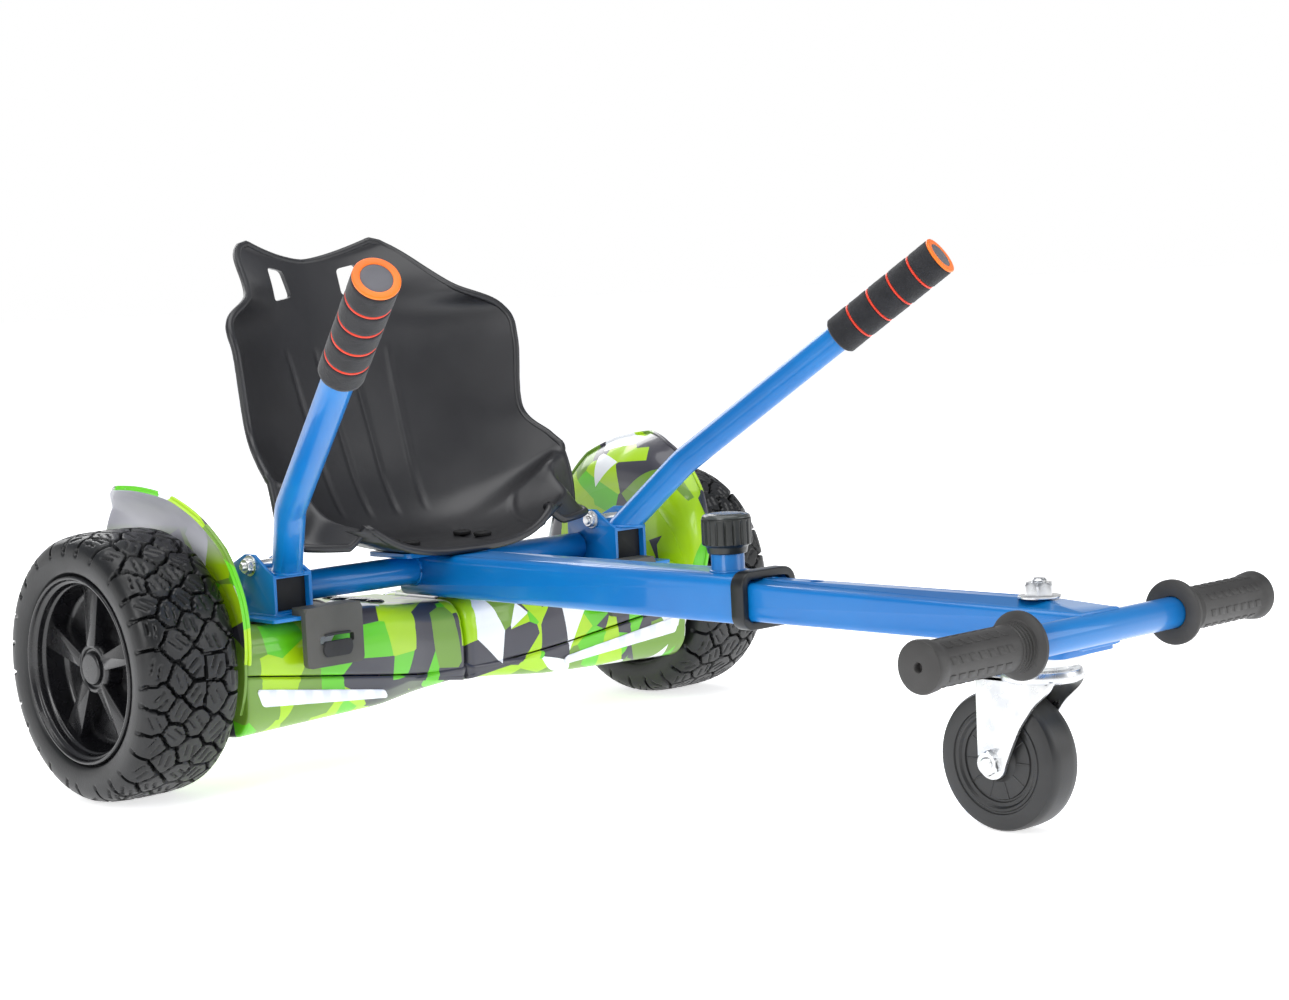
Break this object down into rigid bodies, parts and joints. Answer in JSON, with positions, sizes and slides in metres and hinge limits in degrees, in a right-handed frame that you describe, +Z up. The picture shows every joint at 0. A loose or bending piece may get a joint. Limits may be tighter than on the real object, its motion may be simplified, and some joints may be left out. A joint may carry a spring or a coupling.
{
  "type": "self balancing hoverboard",
  "caption": "All-terrain self balancing hoverboard with a bolt-on kart seat: tilting halves with hub-motor wheels, hand levers, telescopic front beam, peg bar and swivel castor.",
  "frame": {"origin": "on the ground, midway between the drive wheels, under their axle line", "axes": "+Z up, -Y towards the castor and the peg bar (the kart's front), +X to the rider's left"},
  "size_m": [0.692, 0.8978, 0.441],
  "materials": {
    "camo_shell": "gloss, green shard camouflage print",
    "camo_fender": "gloss, green shard camouflage print with a pale wheel side",
    "pad_rubber": "matt, chevron ribs",
    "led_lens": "translucent white diffuser",
    "cast_aluminium": "as cast",
    "tyre_rubber": "block tread",
    "rim_black": "satin black",
    "motor_steel": "machined",
    "blue_paint": "gloss blue powder coat",
    "foam_grip": "soft foam",
    "orange_plastic": "gloss",
    "cap_plastic": "matt",
    "strap_rubber": "matt",
    "zinc_steel": "bright zinc plate",
    "circuit_board": "solder mask",
    "battery_wrap": "heat-shrink wrap",
    "shaft_steel": "drawn tube",
    "socket_plastic": "matt",
    "button_plastic": "matt",
    "collar_plastic": "satin",
    "knob_plastic": "satin, fluted",
    "spring_steel": "music wire",
    "seat_plastic": "satin moulded",
    "grip_rubber": "matt, moulded pattern",
    "castor_rubber": "satin"
  },
  "bodies": {
    "kart_frame": {"main_beam": "blue_paint", "rear_crossbar": "blue_paint", "beam_collar": "collar_plastic", "seat": "seat_plastic", "seat_bolts": "zinc_steel", "knob_spring": "spring_steel"},
    "left_half": {"left_upper_shell": "camo_shell", "left_lower_shell": "camo_shell", "left_fender": "camo_fender", "left_foot_pad": "pad_rubber", "left_led_strip": "led_lens", "left_chassis": "cast_aluminium", "left_axle_clamp": "cast_aluminium", "left_stator": "motor_steel", "left_axle": "motor_steel", "left_wheel_bearings": "motor_steel", "left_lever_tube": "blue_paint", "left_lever_bracket": "blue_paint", "left_grip_foam": "foam_grip", "left_grip_rings": "orange_plastic", "left_grip_cap": "cap_plastic", "left_strap_pad": "strap_rubber", "left_bracket_bolts": "zinc_steel", "left_gyro_board": "circuit_board", "central_shaft": "shaft_steel", "main_board": "circuit_board", "charge_port": "socket_plastic"},
    "right_half": {"right_upper_shell": "camo_shell", "right_lower_shell": "camo_shell", "right_fender": "camo_fender", "right_foot_pad": "pad_rubber", "right_led_strip": "led_lens", "right_chassis": "cast_aluminium", "right_axle_clamp": "cast_aluminium", "right_stator": "motor_steel", "right_axle": "motor_steel", "right_wheel_bearings": "motor_steel", "right_lever_tube": "blue_paint", "right_lever_bracket": "blue_paint", "right_grip_foam": "foam_grip", "right_grip_rings": "orange_plastic", "right_grip_cap": "cap_plastic", "right_strap_pad": "strap_rubber", "right_bracket_bolts": "zinc_steel", "right_gyro_board": "circuit_board", "battery_pack": "battery_wrap"},
    "left_wheel": {"left_tyre": "tyre_rubber", "left_rim": "rim_black"},
    "right_wheel": {"right_tyre": "tyre_rubber", "right_rim": "rim_black"},
    "front_axle": {"front_tube": "blue_paint", "peg_bar": "blue_paint", "peg_grips": "grip_rubber", "castor_plate": "zinc_steel", "kingpin": "zinc_steel"},
    "pull_knob": {"pull_knob": "knob_plastic"},
    "castor_fork": {"castor_fork": "zinc_steel", "castor_axle": "zinc_steel"},
    "castor_wheel": {"castor_wheel": "castor_rubber"},
    "power_button": {"power_button": "button_plastic"}
  },
  "joints": [
    {"name": "left_board_tilt", "type": "hinge", "parent": "kart_frame", "child": "left_half", "pos_m": [0.189, -0.03, 0.154], "axis": [1, 0, 0], "range_deg": [-8, 8]},
    {"name": "left_wheel_spin", "type": "hinge", "parent": "left_half", "child": "left_wheel", "pos_m": [0.302, 0, 0.108], "axis": [1, 0, 0], "continuous": true},
    {"name": "right_board_tilt", "type": "hinge", "parent": "kart_frame", "child": "right_half", "pos_m": [-0.189, -0.03, 0.154], "axis": [1, 0, 0], "range_deg": [-8, 8]},
    {"name": "right_wheel_spin", "type": "hinge", "parent": "right_half", "child": "right_wheel", "pos_m": [-0.302, 0, 0.108], "axis": [1, 0, 0], "continuous": true},
    {"name": "front_tube_slide", "type": "slide", "parent": "kart_frame", "child": "front_axle", "axis": [0, -1, 0], "range_m": [-0.092, 0.092]},
    {"name": "knob_lift", "type": "slide", "parent": "kart_frame", "child": "pull_knob", "axis": [0, 0, 1], "range_m": [0, 0.006], "stiffness_N_per_m": 1500, "springref_m": -0.006, "deforming": ["knob_spring"]},
    {"name": "castor_swivel", "type": "hinge", "parent": "front_axle", "child": "castor_fork", "pos_m": [0, -0.684, 0.114], "axis": [0, 0, 1], "continuous": true},
    {"name": "castor_spin", "type": "hinge", "parent": "castor_fork", "child": "castor_wheel", "pos_m": [0, -0.653, 0.05], "axis": [1, 0, 0], "continuous": true},
    {"name": "power_press", "type": "slide", "parent": "right_half", "child": "power_button", "axis": [0, 1, 0], "range_m": [-0.0015, 0], "stiffness_N_per_m": 800, "springref_m": 0.002}
  ]
}
